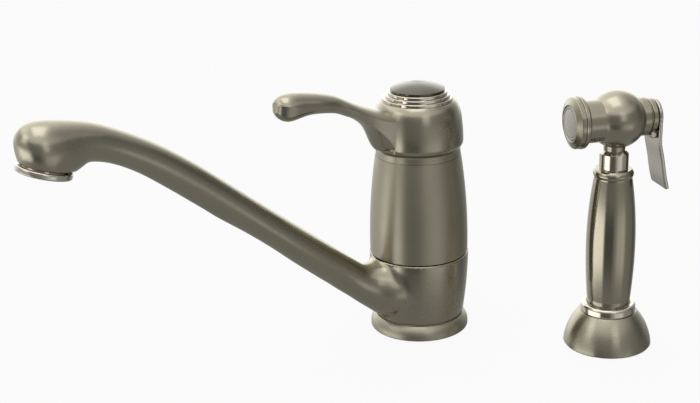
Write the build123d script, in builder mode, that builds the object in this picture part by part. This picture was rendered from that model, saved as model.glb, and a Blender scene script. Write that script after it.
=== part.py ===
from build123d import *

import os
from math import cos, radians, sin, sqrt, tan

# Single-lever kitchen faucet with a swivelling spout, and a side spray in its own deck holder.
# Frame: the top of the deck is z = 0, the faucet stands on the Z axis, the spray holder on +X.
# All sizes are in millimetres and degrees.

# ---- Places ---------------------------------------------------------------------------------
spray_pitch = 112.2  # faucet axis to holder axis
spout_azimuth = 229.1  # where the spout and the lever point, turned from +X
spray_azimuth = 211.5  # where the spray nozzle points
deck_thickness = 30.0  # the deck that both clamps close on

# ---- Fits -----------------------------------------------------------------------------------
running_gap = 0.05  # radial, between pieces that turn or slide in each other
thread_gap = 0.02  # radial, between screwed pieces
seal_gap = 0.1  # round a seal that something turns on
free_gap = 0.3  # between moving bodies that must not rub
cast_gap = 0.6  # round pieces that drop into a cast recess

# ---- Faucet: the stack, from the deck up ----------------------------------------------------
flange_radius = 29.0
flange_height = 8.2
flange_lip = 1.6  # height of the flange's straight edge
gasket_radius = 24.5
gasket_thickness = 1.4
foot_radius = 16.4  # the valve body's foot, level with the deck
spindle_radius = 19.0
slip_ring_thickness = 0.5
slip_ring_play = 0.05
hub_height = 38.4
hub_foot_radius = 26.0
hub_radius = 29.25
collar_height = 4.2
sleeve_radius = 28.75
sleeve_height = 59.4
sleeve_neck_radius = 24.8
sleeve_wall = 1.5
bonnet_height = 5.0
bonnet_radius = 24.6
bonnet_skirt_length = 10.3
body_radius = 22.0
body_drop = 3.2  # from the sleeve's top down to the valve body's
seam = 0.1  # dark line between stacked shells

# ---- Cartridge ------------------------------------------------------------------------------
cartridge_radius = 17.5
pocket_wall = 4.0  # the housing's floor, under the discs
housing_shoulder_depth = 8.0  # below the valve body's top
housing_stand = 3.0  # above the valve body's top
housing_neck_radius = 14.7
housing_bore = 13.1
nut_radius = 20.0
nut_stand = 2.0  # above the housing
disc_radius = 9.4
disc_thickness = 3.0
carrier_height = 3.9
lift_axis_depth = 12.0  # below the valve body's top
pivot_radius = 1.5
stem_width = 7.0
stem_ball_radius = 2.4
stem_ball_drop = 7.5  # pivot to ball centre
lift_angle = 20.0

# ---- Handle ---------------------------------------------------------------------------------
skirt_radius = 26.2
skirt_foot_radius = 25.2
skirt_bore = 23.8
dome_rise = 26.6  # from the skirt's foot to the flat under the trim ring
dome_top_radius = 20.9
web_depth = 6.2  # from there down to the web that the screw clamps
web_thickness = 3.0
boss_length = 16.0  # from the web's top down to the boss's foot
stem_engagement = 9.0
lever_reach = 93.6
cap_radius = 15.7
cap_edge = 1.3
cap_crown = 3.0
trim_step = 1.5  # width of one step of the trim ring
trim_rise = 1.8  # height of one step
trim_steps = 3

# ---- Spout arm, in the upright plane through the axis: distance out, height up --------------
arm_slope = 38.8
arm_root_height = 26.32  # height of the arm's centre line where it leaves the hub's skin
arm_root_radius = 9.9
arm_radius = 8.8
arm_reach = 172.0  # where the arm starts to curl over
waterway_radius = 5.5
waterway_bend = 9.0
mouth_tilt = 16.5  # the mouth looks down and outwards
mouth_radius = 13.2
mouth_offset = (3.894, 0.303)  # mouth centre from the end of the straight arm, in mouth radii
aerator_radius = 14.4
aerator_band = 3.3
aerator_seam = 0.6
aerator_thread_radius = 11.4
aerator_thread_length = 7.0

# ---- Side spray: heights on the holder's axis -----------------------------------------------
holder_radius = 25.0
holder_height = 20.2
collar_radius = 15.5
collar_top = 25.2
shank_radius = 13.2
shank_bore = 11.3
shank_depth = 48.0
bush_bore = 10.45
grip_plug_radius = 10.2
grip_foot = 12.0
grip_radius = 13.8
grip_belly = 55.0
grip_neck_radius = 10.6
grip_neck = 100.6
grip_top = 105.8
bead_radius = 11.2
ferrule_radius = 8.1
ferrule_top = 116.6
hose_way = 3.5

# ---- Spray head: distances along the nozzle's axis, from the grip's axis --------------------
nozzle_height = 134.2
ball_radius = 16.2
ball_centre = -0.7
ball_back = -12.8
barrel_radius = 11.9
barrel_front = 19.8
bezel_radius = 14.6
face_radius = 9.4
face_front = 27.2
notch_count = 30
rear_radius = 10.8
rear_back = -21.9
valve_rod_radius = 2.0
pin_out = -19.9
pin_height = 124.9
pin_radius = 1.2
pin_head_radius = 1.9
lug_half_width = 4.2
lug_radius = 2.1
ear_thickness = 1.8
pad_radius = 9.5
plate_thickness = 2.1
plate_half_width = 9.3
plate_edge = 0.7  # the plate's rounded edges

# ---- Levels that follow ---------------------------------------------------------------------
hub_bottom = flange_height + slip_ring_thickness + 2 * slip_ring_play
hub_top = hub_bottom + hub_height
collar_bottom = hub_top + slip_ring_thickness + 2 * slip_ring_play
sleeve_top = collar_bottom + sleeve_height
bonnet_bottom = sleeve_top + seam
bonnet_top = bonnet_bottom + bonnet_height
skirt_end = bonnet_bottom - bonnet_skirt_length
ledge_bottom = collar_bottom + collar_height
body_height = sleeve_top - body_drop
housing_shoulder = body_height - housing_shoulder_depth
housing_top = body_height + housing_stand
nut_top = housing_top + nut_stand
lift_axis_height = body_height - lift_axis_depth
carrier_top = lift_axis_height - stem_ball_drop + 1.4
disc_plane = carrier_top - carrier_height - disc_thickness
disc_seat = disc_plane - disc_thickness
pocket_floor = disc_seat - pocket_wall
skirt_bottom = bonnet_top + free_gap
dome_height = skirt_bottom + dome_rise
web_top = dome_height - web_depth
cavity_top = web_top - web_thickness
boss_bottom = web_top - boss_length
stem_top = boss_bottom + stem_engagement


# ---- Planes and small helpers ---------------------------------------------------------------
def upright(azimuth, centre=0.0, height=0.0):
    """The upright plane through a vertical axis: local x runs outwards, local y runs up."""
    turn = radians(azimuth)
    outward = (cos(turn), sin(turn), 0)
    return Plane(origin=(centre, 0, height), x_dir=outward, z_dir=(sin(turn), -cos(turn), 0))


def outline(plane, *points):
    """A closed face with straight sides."""
    with BuildSketch(plane) as shape:
        with BuildLine():
            Polyline(*points, close=True)
        make_face()
    return shape.sketch


def ring(inner, outer, bottom, top, axis):
    """A plain ring about an axis, from bottom to top along it."""
    plane = Plane(origin=axis.position + axis.direction * bottom, z_dir=axis.direction)
    with BuildPart() as piece:
        with BuildSketch(plane):
            Circle(outer)
            if inner:
                Circle(inner, mode=Mode.SUBTRACT)
        extrude(amount=top - bottom)
    return piece


def o_ring(middle, section, height, axis):
    """A round-section seal about an axis."""
    plane = Plane(origin=axis.position, x_dir=across_of(axis), z_dir=axis.direction.cross(across_of(axis)))
    with BuildPart() as piece:
        with BuildSketch(plane):
            with Locations((middle, -height)):
                Circle(section)
        revolve(axis=axis)
    return piece


def across_of(axis):
    """A direction square to an axis."""
    return Vector(0, 0, 1) if abs(axis.direction.Z) < 0.5 else Vector(1, 0, 0)


faucet_axis = Axis.Z
holder_axis = Axis((spray_pitch, 0, 0), (0, 0, 1))
spout_plane = upright(spout_azimuth)
turned_plane = upright(0)
holder_plane = upright(0, spray_pitch)
nozzle_plane = upright(spray_azimuth, spray_pitch, nozzle_height)
spray_side = upright(spray_azimuth, spray_pitch)
nozzle_axis = Axis(nozzle_plane.origin, nozzle_plane.x_dir)

# ---- Base and deck clamp --------------------------------------------------------------------
with BuildPart() as base_flange:
    with BuildSketch(turned_plane):
        with BuildLine():
            bore = foot_radius + thread_gap
            foot = Polyline((bore, gasket_thickness), (gasket_radius, gasket_thickness),
                            (gasket_radius, 0), (flange_radius, 0), (flange_radius, flange_lip))
            brow = ThreePointArc(foot @ 1, (flange_radius - 0.7, 5.2), (hub_foot_radius, flange_height))
            Polyline(brow @ 1, (bore, flange_height), (bore, gasket_thickness))
        make_face()
    revolve(axis=faucet_axis)
    fillet(base_flange.edges().filter_by(GeomType.CIRCLE).group_by(Axis.Z)[0].sort_by(SortBy.RADIUS)[-1:], 0.8)

base_gasket = ring(foot_radius + free_gap, gasket_radius - 0.2, 0, gasket_thickness, faucet_axis)

stud_radius = 3.0
stud_reach = 12.0
stud_spread = 10.5
stud_back = -5.0
stud_places = [(-stud_spread, stud_back), (stud_spread, stud_back)]
inlet_radius = 4.5
inlet_depth = 12.0
inlet_places = [(-7.0, 6.2), (7.0, 6.2)]
spray_outlet_place = (0, -8.5)

groove_width = 3.0
groove_radius = 16.8
lower_groove = hub_bottom + 4.0
upper_groove = hub_top - 4.0 - groove_width
channel_bottom = 20.0
channel_top = 34.0
channel_radius = 15.6

# The diverter lies in a cross bore that runs from the mixed water's way out to the spout's channel.
diverter_height = 27.0
plunger_radius = 3.6
plunger_length = 5.6
seat_radius = 5.4
seat_depth = 3.0
diverter_plane = Plane(origin=(0, 0, diverter_height), x_dir=(1, 0, 0), z_dir=(0, -1, 0))

with BuildPart() as valve_body:
    revolve(outline(
        turned_plane, (0, 0), (foot_radius, 0), (foot_radius, flange_height),
        (spindle_radius, flange_height), (spindle_radius, lower_groove), (groove_radius, lower_groove),
        (groove_radius, lower_groove + groove_width), (spindle_radius, lower_groove + groove_width),
        (spindle_radius, channel_bottom), (channel_radius, channel_bottom), (channel_radius, channel_top),
        (spindle_radius, channel_top), (spindle_radius, upper_groove), (groove_radius, upper_groove),
        (groove_radius, upper_groove + groove_width), (spindle_radius, upper_groove + groove_width),
        (spindle_radius, collar_bottom), (hub_radius - 4.0, collar_bottom),
        (hub_radius - 4.0, ledge_bottom), (body_radius, ledge_bottom), (body_radius, body_height),
        (nut_radius, body_height), (nut_radius, housing_shoulder),
        (cartridge_radius + thread_gap, housing_shoulder), (cartridge_radius + thread_gap, pocket_floor),
        (0, pocket_floor)), axis=faucet_axis)
    with BuildSketch(Plane.XY):
        with Locations(*stud_places):
            Circle(stud_radius + thread_gap)
    extrude(amount=stud_reach, mode=Mode.SUBTRACT)
    with BuildSketch(Plane.XY):
        with Locations(*inlet_places, spray_outlet_place):
            Circle(inlet_radius)
    extrude(amount=inlet_depth, mode=Mode.SUBTRACT)
    with BuildSketch(Plane.XY.offset(inlet_depth)):
        with Locations(*inlet_places):
            Circle(hose_way)
    extrude(until=Until.LAST, mode=Mode.SUBTRACT)
    with BuildSketch(Plane.XY.offset(inlet_depth)):
        with Locations(spray_outlet_place):
            Circle(hose_way)
    extrude(until=Until.LAST, mode=Mode.SUBTRACT)
    with BuildSketch(diverter_plane):
        Circle(plunger_radius + running_gap)
    extrude(amount=spindle_radius, mode=Mode.SUBTRACT)
    with BuildSketch(diverter_plane.offset(channel_radius - seat_depth)):
        Circle(seat_radius)
    extrude(amount=spindle_radius, mode=Mode.SUBTRACT)

with BuildPart() as diverter_seat:
    with BuildSketch(diverter_plane.offset(channel_radius - seat_depth)):
        Circle(seat_radius - thread_gap)
        Circle(plunger_radius - 1.2, mode=Mode.SUBTRACT)
    extrude(amount=seat_depth - 0.8)

plunger_front = channel_radius - seat_depth - seam
with BuildPart() as diverter_plunger:
    with BuildSketch(diverter_plane.offset(plunger_front - plunger_length)):
        Circle(plunger_radius)
    extrude(amount=plunger_length)
    with BuildSketch(diverter_plane.offset(plunger_front)):
        Circle(plunger_radius - 1.4)
    extrude(amount=-plunger_length + 1.2, mode=Mode.SUBTRACT)

with BuildPart() as mounting_studs:
    with BuildSketch(Plane.XY.offset(stud_reach)):
        with Locations(*stud_places):
            Circle(stud_radius)
    extrude(amount=-(stud_reach + deck_thickness + 32.0))

clamp_width = 46.0
clamp_thickness = 2.5
clamp_pad = 1.5


def horseshoe(top, thickness):
    """The clamp plate's outline: a disc open towards +Y, so that the hoses pass."""
    with BuildPart() as piece:
        with BuildSketch(Plane.XY.offset(top)):
            Circle(clamp_width / 2)
            with Locations((0, clamp_width / 4 + 1.5)):
                Rectangle(2 * 13.0, clamp_width / 2, mode=Mode.SUBTRACT)
            with Locations((0, -2.5)):
                SlotOverall(24.6, 11.4, rotation=90, mode=Mode.SUBTRACT)
            with Locations(*stud_places):
                Circle(stud_radius + cast_gap / 2, mode=Mode.SUBTRACT)
        extrude(amount=-thickness)
    return piece


clamp_gasket = horseshoe(-deck_thickness, clamp_pad)
clamp_plate = horseshoe(-deck_thickness - clamp_pad, clamp_thickness)

nut_height = 5.0
nut_face = -deck_thickness - clamp_pad - clamp_thickness
with BuildPart() as stud_nuts:
    with BuildSketch(Plane.XY.offset(nut_face)):
        with Locations(*stud_places):
            RegularPolygon(5.0, 6, major_radius=False)
            Circle(stud_radius + thread_gap, mode=Mode.SUBTRACT)
    extrude(amount=-nut_height)

lower_slip_ring = ring(spindle_radius + running_gap, hub_foot_radius - 1.0, flange_height + slip_ring_play,
                       hub_bottom - slip_ring_play, faucet_axis)
upper_slip_ring = ring(spindle_radius + running_gap, hub_radius - 5.0, hub_top + slip_ring_play,
                       collar_bottom - slip_ring_play, faucet_axis)

seal_section = (spindle_radius - seal_gap - groove_radius) / 2
with BuildPart() as spindle_seals:
    with BuildSketch(turned_plane):
        for groove in (lower_groove, upper_groove):
            with Locations((groove_radius + seal_section, groove + groove_width / 2)):
                Circle(seal_section)
    revolve(axis=faucet_axis)

# ---- Sleeve and bonnet ring -----------------------------------------------------------------
sleeve_inner = sleeve_neck_radius - sleeve_wall
with BuildPart() as barrel_sleeve:
    with BuildSketch(turned_plane):
        with BuildLine():
            side = ThreePointArc((sleeve_radius, collar_bottom + seam),
                                 (sleeve_radius - 1.15, collar_bottom + 0.6 * sleeve_height),
                                 (sleeve_neck_radius, sleeve_top))
            Polyline(side @ 1, (sleeve_inner, sleeve_top), (sleeve_inner, skirt_end - 15.0),
                     (body_radius + running_gap, skirt_end - 19.0), (body_radius + running_gap, ledge_bottom),
                     (hub_radius - 4.0 + thread_gap, ledge_bottom),
                     (hub_radius - 4.0 + thread_gap, collar_bottom + seam), side @ 0)
        make_face()
    revolve(axis=faucet_axis)

bonnet_skirt = sleeve_inner - thread_gap
with BuildPart() as bonnet_ring:
    revolve(outline(
        turned_plane, (body_radius + thread_gap, skirt_end), (bonnet_skirt, skirt_end),
        (bonnet_skirt, bonnet_bottom), (bonnet_radius, bonnet_bottom), (bonnet_radius - 0.1, bonnet_top - 1.3),
        (skirt_bore - 0.5, bonnet_top), (nut_radius + 1.0, bonnet_top), (nut_radius + 1.0, body_height + 0.5),
        (body_radius + thread_gap, body_height + 0.5)), axis=faucet_axis)

# ---- Cartridge ------------------------------------------------------------------------------
rotor_bottom = carrier_top + 0.3
rotor_radius = housing_bore - running_gap

with BuildPart() as cartridge_housing:
    revolve(outline(
        turned_plane, (0, pocket_floor), (cartridge_radius, pocket_floor), (cartridge_radius, housing_shoulder),
        (housing_neck_radius, housing_shoulder), (housing_neck_radius, housing_top),
        (housing_bore, housing_top), (housing_bore, disc_seat), (0, disc_seat)), axis=faucet_axis)
    with BuildSketch(Plane.XY.offset(pocket_floor)):
        with Locations(*inlet_places, spray_outlet_place):
            Circle(hose_way)
    extrude(amount=disc_seat - pocket_floor, mode=Mode.SUBTRACT)

with BuildPart() as fixed_disc:
    with BuildSketch(Plane.XY.offset(disc_seat)):
        Circle(housing_bore - thread_gap)
        with Locations(*inlet_places, spray_outlet_place):
            Circle(hose_way - 0.5, mode=Mode.SUBTRACT)
    extrude(amount=disc_thickness)

with BuildPart() as moving_disc:
    with BuildSketch(Plane.XY.offset(disc_plane)):
        Circle(disc_radius)
    extrude(amount=disc_thickness)
    with BuildSketch(Plane.XY.offset(disc_plane)):
        SlotOverall(14.0, 6.0)
    extrude(amount=disc_thickness / 2, mode=Mode.SUBTRACT)

socket_radius = stem_ball_radius + running_gap
with BuildPart() as disc_carrier:
    with BuildSketch(Plane.XY.offset(disc_plane + disc_thickness)):
        Circle(disc_radius)
        Rectangle(2 * socket_radius, 2 * socket_radius + 0.3, mode=Mode.SUBTRACT)
    extrude(amount=carrier_top - disc_plane - disc_thickness)

with BuildPart() as cartridge_rotor:
    with BuildSketch(Plane.XY.offset(rotor_bottom)):
        Circle(rotor_radius)
    extrude(amount=housing_top + 0.5 - rotor_bottom)
    slot_half = stem_width / 2 + free_gap
    above = housing_top + 0.5 - lift_axis_height
    below = lift_axis_height - rotor_bottom
    swing = tan(radians(lift_angle + 1.0))
    extrude(outline(
        spout_plane, (slot_half, lift_axis_height), (slot_half, lift_axis_height + above),
        (-slot_half - 0.3 - above * swing, lift_axis_height + above), (-slot_half - 0.3, lift_axis_height),
        (-slot_half, lift_axis_height - below), (slot_half + 0.3 + below * swing, lift_axis_height - below)),
        amount=slot_half, both=True, mode=Mode.SUBTRACT)
    with BuildSketch(spout_plane):
        with Locations((0, lift_axis_height)):
            Circle(pivot_radius + thread_gap)
    extrude(amount=rotor_radius, both=True, mode=Mode.SUBTRACT)

with BuildPart() as pivot_pin:
    with BuildSketch(spout_plane):
        with Locations((0, lift_axis_height)):
            Circle(pivot_radius)
    extrude(amount=rotor_radius - 1.0, both=True)

screw_radius = 2.5
with BuildPart() as cartridge_stem:
    with BuildSketch(spout_plane):
        with Locations((0, (lift_axis_height - 3.5 + stem_top) / 2)):
            Rectangle(stem_width, stem_top - lift_axis_height + 3.5)
    extrude(amount=stem_width / 2, both=True)
    with BuildSketch(Plane.XY.offset(lift_axis_height - stem_ball_drop)):
        Circle(1.6)
    extrude(amount=stem_ball_drop)
    with Locations((0, 0, lift_axis_height - stem_ball_drop)):
        Sphere(stem_ball_radius)
    with BuildSketch(spout_plane):
        with Locations((0, lift_axis_height)):
            Circle(pivot_radius + running_gap)
    extrude(amount=stem_width, both=True, mode=Mode.SUBTRACT)
    with BuildSketch(Plane.XY.offset(stem_top)):
        Circle(screw_radius + thread_gap)
    extrude(amount=-14.0, mode=Mode.SUBTRACT)

with BuildPart() as cartridge_nut:
    with BuildSketch(Plane.XY.offset(housing_shoulder)):
        Circle(nut_radius - thread_gap)
        Circle(housing_neck_radius + thread_gap, mode=Mode.SUBTRACT)
    extrude(amount=nut_top - housing_shoulder)
    with BuildSketch(Plane.XY.offset(nut_top)):
        with PolarLocations(nut_radius, 6):
            Rectangle(4.0, 4.0)
    extrude(amount=-3.0, mode=Mode.SUBTRACT)

# ---- Lever handle: dome, cavity and lever in one casting ------------------------------------
boss_radius = 8.5
trim_radius = dome_top_radius - 0.6
trim_spigot = trim_radius - trim_step - cast_gap

# Stations along the lever, in hundredths of its reach. Each has its belly and its crown as (distance out,
# height from the dome's top), then how far the upper crease lies below the crown, the lower crease above
# the belly, and the half width.
lever_stations = [
    ((25.64, -28.21), (14.96, -3.63), 5.56, 0.64, 12.61),
    ((30.56, -26.92), (22.44, -2.67), 5.34, 8.12, 12.5),
    ((33.33, -21.79), (29.38, -1.18), 5.24, 7.26, 11.75),
    ((35.68, -15.6), (35.26, 0.85), 5.34, 4.49, 11.0),
    ((39.53, -10.15), (41.67, 3.53), 5.56, 2.78, 10.04),
    ((45.3, -5.45), (48.61, 6.84), 5.45, 1.92, 8.97),
    ((53.21, -1.28), (56.62, 10.9), 5.88, 2.24, 8.12),
    ((64.1, 2.46), (67.31, 14.74), 6.62, 2.88, 7.91),
    ((77.99, 3.74), (80.13, 17.41), 7.37, 3.85, 8.65),
    ((89.74, 2.14), (89.74, 18.38), 6.52, 4.91, 8.87),
    ((95.09, 2.99), (94.87, 17.84), 4.81, 3.85, 7.69),
    ((98.29, 5.56), (97.86, 16.45), 3.21, 2.14, 5.34),
    ((100.0, 8.12), (99.57, 14.53), 1.5, 1.07, 2.56),
]

with BuildPart() as lever_handle:
    with BuildSketch(turned_plane):
        with BuildLine():
            foot = ThreePointArc((skirt_foot_radius, skirt_bottom), (skirt_radius - 0.3, skirt_bottom + 1.2),
                                 (skirt_radius, skirt_bottom + 3.4))
            dome = Spline(foot @ 1, (skirt_radius - 0.7, skirt_bottom + 0.5414 * dome_rise),
                          (dome_top_radius, dome_height), tangents=[(0, 1), (-1, 0.8)])
            Polyline(dome @ 1, (0, dome_height), (0, skirt_bottom), foot @ 0)
        make_face()
    revolve(axis=faucet_axis)
    for (belly, crown, *rest) in lever_stations:
        below_crown, above_belly, half = (lever_reach * share / 100 for share in rest)
        low, high = (spout_plane.from_local_coords((lever_reach * out / 100,
                                                    dome_height + lever_reach * up / 100))
                     for out, up in (belly, crown))
        rise = high - low
        station = Plane(origin=low, x_dir=-spout_plane.z_dir, z_dir=rise.cross(spout_plane.z_dir))
        with BuildSketch(station):
            with BuildLine():
                upper, lower = rise.length - below_crown, above_belly
                top = ThreePointArc((-half, upper), (0, rise.length), (half, upper))
                bottom = ThreePointArc((half - 0.6, lower), (0, 0), (0.6 - half, lower))
                Line(top @ 1, bottom @ 0)
                Line(bottom @ 1, top @ 0)
            make_face()
    loft()
    cavity = outline(
        turned_plane, (0, skirt_bottom - 5.0), (skirt_bore, skirt_bottom - 5.0),
        (skirt_bore, cavity_top - 3.0), (nut_radius - 1.0, cavity_top), (boss_radius, cavity_top),
        (boss_radius, boss_bottom), (0, boss_bottom))
    revolve(cavity, axis=faucet_axis, mode=Mode.SUBTRACT)
    revolve(outline(turned_plane, (0, web_top), (trim_spigot + thread_gap, web_top),
                    (trim_spigot + thread_gap, dome_height + 20), (0, dome_height + 20)),
            axis=faucet_axis, mode=Mode.SUBTRACT)
    with BuildSketch(Plane(origin=(0, 0, boss_bottom), x_dir=spout_plane.x_dir, z_dir=(0, 0, 1))):
        Rectangle(stem_width + 2 * thread_gap, stem_width + 2 * thread_gap)
    extrude(amount=stem_top - boss_bottom, mode=Mode.SUBTRACT)
    with BuildSketch(Plane.XY.offset(boss_bottom)):
        Circle(screw_radius + running_gap)
    extrude(amount=web_top - boss_bottom, mode=Mode.SUBTRACT)

screw_head = 3.0
with BuildPart() as handle_screw:
    with BuildSketch(Plane.XY.offset(web_top + screw_head)):
        Circle(4.5)
    extrude(amount=-screw_head)
    with BuildSketch(Plane.XY.offset(web_top)):
        Circle(screw_radius)
    extrude(amount=-(web_top - stem_top + 12.0))
    with BuildSketch(Plane.XY.offset(web_top + screw_head)):
        RegularPolygon(2.0, 6, major_radius=False)
    extrude(amount=-2.0, mode=Mode.SUBTRACT)

trim_bore = trim_radius - trim_steps * trim_step - 2.5
trim_top = dome_height + trim_steps * trim_rise
with BuildPart() as cap_trim_ring:
    with BuildSketch(Plane.XY.offset(web_top + 1.0)):
        Circle(trim_spigot)
    extrude(amount=dome_height - web_top - 1.0)
    for step in range(trim_steps):
        with BuildSketch(Plane.XY.offset(dome_height + step * trim_rise)):
            Circle(trim_radius - step * trim_step)
        extrude(amount=trim_rise)
        fillet(cap_trim_ring.edges().group_by(Axis.Z)[-1], 0.5)
    with BuildSketch(Plane.XY.offset(trim_top)):
        Circle(trim_bore)
    extrude(amount=-(trim_top - web_top), mode=Mode.SUBTRACT)

with BuildPart() as cap_disc:
    with BuildSketch(turned_plane):
        with BuildLine():
            rim = Polyline((0, web_top + screw_head + 1.0),
                           (trim_bore - thread_gap, web_top + screw_head + 1.0),
                           (trim_bore - thread_gap, trim_top), (cap_radius, trim_top),
                           (cap_radius, trim_top + cap_edge))
            crown = TangentArc((0, trim_top + cap_edge + cap_crown), rim @ 1, tangent=(1, 0))
            Line(crown @ 0, rim @ 0)
        make_face()
    revolve(axis=faucet_axis)

# ---- Spout: hub, arm and head in one casting ------------------------------------------------
def on_arm(out):
    """The point of the arm's centre line that lies so far out from the axis."""
    return Vector(out, arm_root_height + (out - hub_radius) * tan(radians(arm_slope)))


def tube_section(middle, turn, radius):
    """Lower and upper end of a round section that stands square to the arm's run."""
    middle = on_arm(middle) if isinstance(middle, float) else Vector(*middle)
    normal = Vector(-sin(radians(turn)), cos(radians(turn)))
    low, high = middle - normal * radius, middle + normal * radius
    return (low.X, low.Y), (high.X, high.Y), radius


arm_end = on_arm(arm_reach) - Vector(0, 2.7)


def head_point(out, up):
    """A point of the head, given from the end of the straight arm in mouth radii."""
    return arm_end.X + out * mouth_radius, arm_end.Y + up * mouth_radius


def head_section(inner, outer, half_width):
    """A section of the head, given in the same way."""
    return head_point(*inner), head_point(*outer), half_width * mouth_radius


def root_section(low, high, half_width):
    """A section where the arm flares out of the hub, from the hub's skin, foot and top."""
    return (hub_radius + low[0], hub_bottom + low[1]), (hub_radius + high[0], hub_top - high[1]), half_width


# Sections of the arm and head: inner point, outer point, half width across.
spout_sections = [
    root_section((-9.3, 2.7), (-12.3, 2.4), 20.0),
    root_section((-2.3, 3.4), (-4.6, 1.0), 18.0),
    root_section((2.3, 5.6), (-0.3, 0.5), 15.7),
    root_section((5.8, 8.4), (3.0, 0.6), 13.5),
    root_section((9.4, 11.4), (6.0, 0.9), 11.8),
    root_section((15.3, 16.5), (9.6, 0.6), 10.4),
    tube_section(hub_radius + 16.75, arm_slope, arm_root_radius - 0.4),
    tube_section(hub_radius + 34.75, arm_slope, arm_radius + 0.5),
    tube_section(0.64 * arm_reach, arm_slope, arm_radius + 0.1),
    tube_section(arm_reach - 20.0, arm_slope, arm_radius),
    tube_section((arm_end.X, arm_end.Y), 32.0, arm_radius),
    tube_section(head_point(1.25, 0.652), 24.0, arm_radius + 0.2),
    tube_section(head_point(2.008, 0.909), 16.0, arm_radius + 1.2),
    head_section((2.5, 0.076), (2.803, 1.909), 0.879),
    head_section((2.712, -0.03), (3.636, 2.061), 1.015),
    head_section((2.818, -0.061), (4.561, 1.97), 1.106),
    head_section((2.879, -0.03), (4.939, 1.318), 1.091),
]

mouth_place = head_point(*mouth_offset)
mouth_across = Vector(cos(radians(mouth_tilt)), sin(radians(mouth_tilt)))
mouth_out = spout_plane.from_local_coords(mouth_place)
mouth_down = (spout_plane.from_local_coords((sin(radians(mouth_tilt)), -cos(radians(mouth_tilt))))
              - spout_plane.origin)
mouth_side = spout_plane.from_local_coords((mouth_across.X, mouth_across.Y)) - spout_plane.origin
mouth_axis = Axis(mouth_out, mouth_down)
mouth_plane = Plane(origin=mouth_out, x_dir=mouth_side, z_dir=mouth_down)
mouth_inner = (mouth_place[0] - mouth_radius * mouth_across.X, mouth_place[1] - mouth_radius * mouth_across.Y)
mouth_outer = (mouth_place[0] + mouth_radius * mouth_across.X, mouth_place[1] + mouth_radius * mouth_across.Y)
spout_sections.append((mouth_inner, mouth_outer, mouth_radius))

waterway_corners = [(14.0, channel_bottom - 6.0), (arm_end.X - 4.0, arm_end.Y - 0.5),
                    (mouth_place[0] - 4.1, mouth_place[1] + 13.9), (mouth_place[0], mouth_place[1] + 0.5)]
with BuildPart() as spout:
    for inner, outer, half_width in spout_sections:
        low, high = (spout_plane.from_local_coords(point) for point in (inner, outer))
        across = high - low
        with BuildSketch(Plane(origin=(low + high) * 0.5, x_dir=across,
                               z_dir=across.cross(spout_plane.z_dir))):
            Ellipse(across.length / 2, half_width)
    loft()
    with BuildSketch(turned_plane):
        with BuildLine():
            bowl = ThreePointArc((hub_foot_radius, hub_bottom),
                                 (hub_radius - 1.0, hub_bottom + 0.48 * hub_height), (hub_radius, hub_top))
            Polyline(bowl @ 1, (0, hub_top), (0, hub_bottom), bowl @ 0)
        make_face()
    revolve(axis=faucet_axis)
    with BuildSketch(Plane.XY.offset(hub_bottom)):
        Circle(spindle_radius + running_gap)
    extrude(amount=hub_height, mode=Mode.SUBTRACT)
    with BuildLine() as waterway:
        FilletPolyline(*[spout_plane.from_local_coords(point) for point in waterway_corners],
                       radius=waterway_bend)
    with BuildSketch(Plane(origin=waterway.line @ 0, z_dir=waterway.line % 0)):
        Circle(waterway_radius)
    sweep(path=waterway.line, mode=Mode.SUBTRACT)
    with BuildSketch(mouth_plane):
        Circle(aerator_thread_radius + thread_gap)
    extrude(amount=-(aerator_thread_length + 3.0), mode=Mode.SUBTRACT)

# ---- Aerator, along the mouth's own axis: heights are measured down from the mouth ----------
band_top = aerator_seam
band_bottom = aerator_seam + aerator_band
with BuildPart() as aerator_ring:
    with BuildSketch(mouth_plane.offset(-aerator_thread_length)):
        Circle(aerator_thread_radius)
    extrude(amount=aerator_thread_length + band_top)
    with BuildSketch(mouth_plane.offset(band_top)):
        Circle(aerator_radius)
    extrude(amount=aerator_band)
    fillet(aerator_ring.edges().filter_by(GeomType.CIRCLE).sort_by(SortBy.RADIUS)[-2:], 0.9)
    with BuildSketch(mouth_plane.offset(-aerator_thread_length)):
        Circle(aerator_thread_radius - 1.2)
    extrude(amount=aerator_thread_length + aerator_band - 0.6, mode=Mode.SUBTRACT)
    with BuildSketch(mouth_plane.offset(band_bottom)):
        Circle(aerator_thread_radius - 2.0)
    extrude(amount=-2.0, mode=Mode.SUBTRACT)

aerator_gasket = ring(aerator_thread_radius - 2.6, aerator_thread_radius - 0.1, -aerator_thread_length - 2.0,
                      -aerator_thread_length, mouth_axis)

insert_radius = aerator_thread_radius - 1.2 - thread_gap
insert_bottom = aerator_band - 0.6
with BuildPart() as aerator_insert:
    with BuildSketch(mouth_plane.offset(-aerator_thread_length + 0.5)):
        Circle(insert_radius)
    extrude(amount=aerator_thread_length - 0.5 + insert_bottom)
    with BuildSketch(mouth_plane.offset(insert_bottom)):
        Circle(insert_radius - 1.0)
    extrude(amount=-2.4, mode=Mode.SUBTRACT)
    with BuildSketch(mouth_plane.offset(-aerator_thread_length + 0.5)):
        with HexLocations(2.0, 3, 3):
            Circle(1.2)
    extrude(amount=aerator_thread_length + insert_bottom, mode=Mode.SUBTRACT)

with BuildPart() as aerator_screen:
    with BuildSketch(mouth_plane.offset(insert_bottom - 0.9)):
        Circle(insert_radius - 1.0 - thread_gap)
        with GridLocations(2.4, 2.4, 5, 5):
            Rectangle(1.7, 1.7, mode=Mode.SUBTRACT)
    extrude(amount=0.8)

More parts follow.
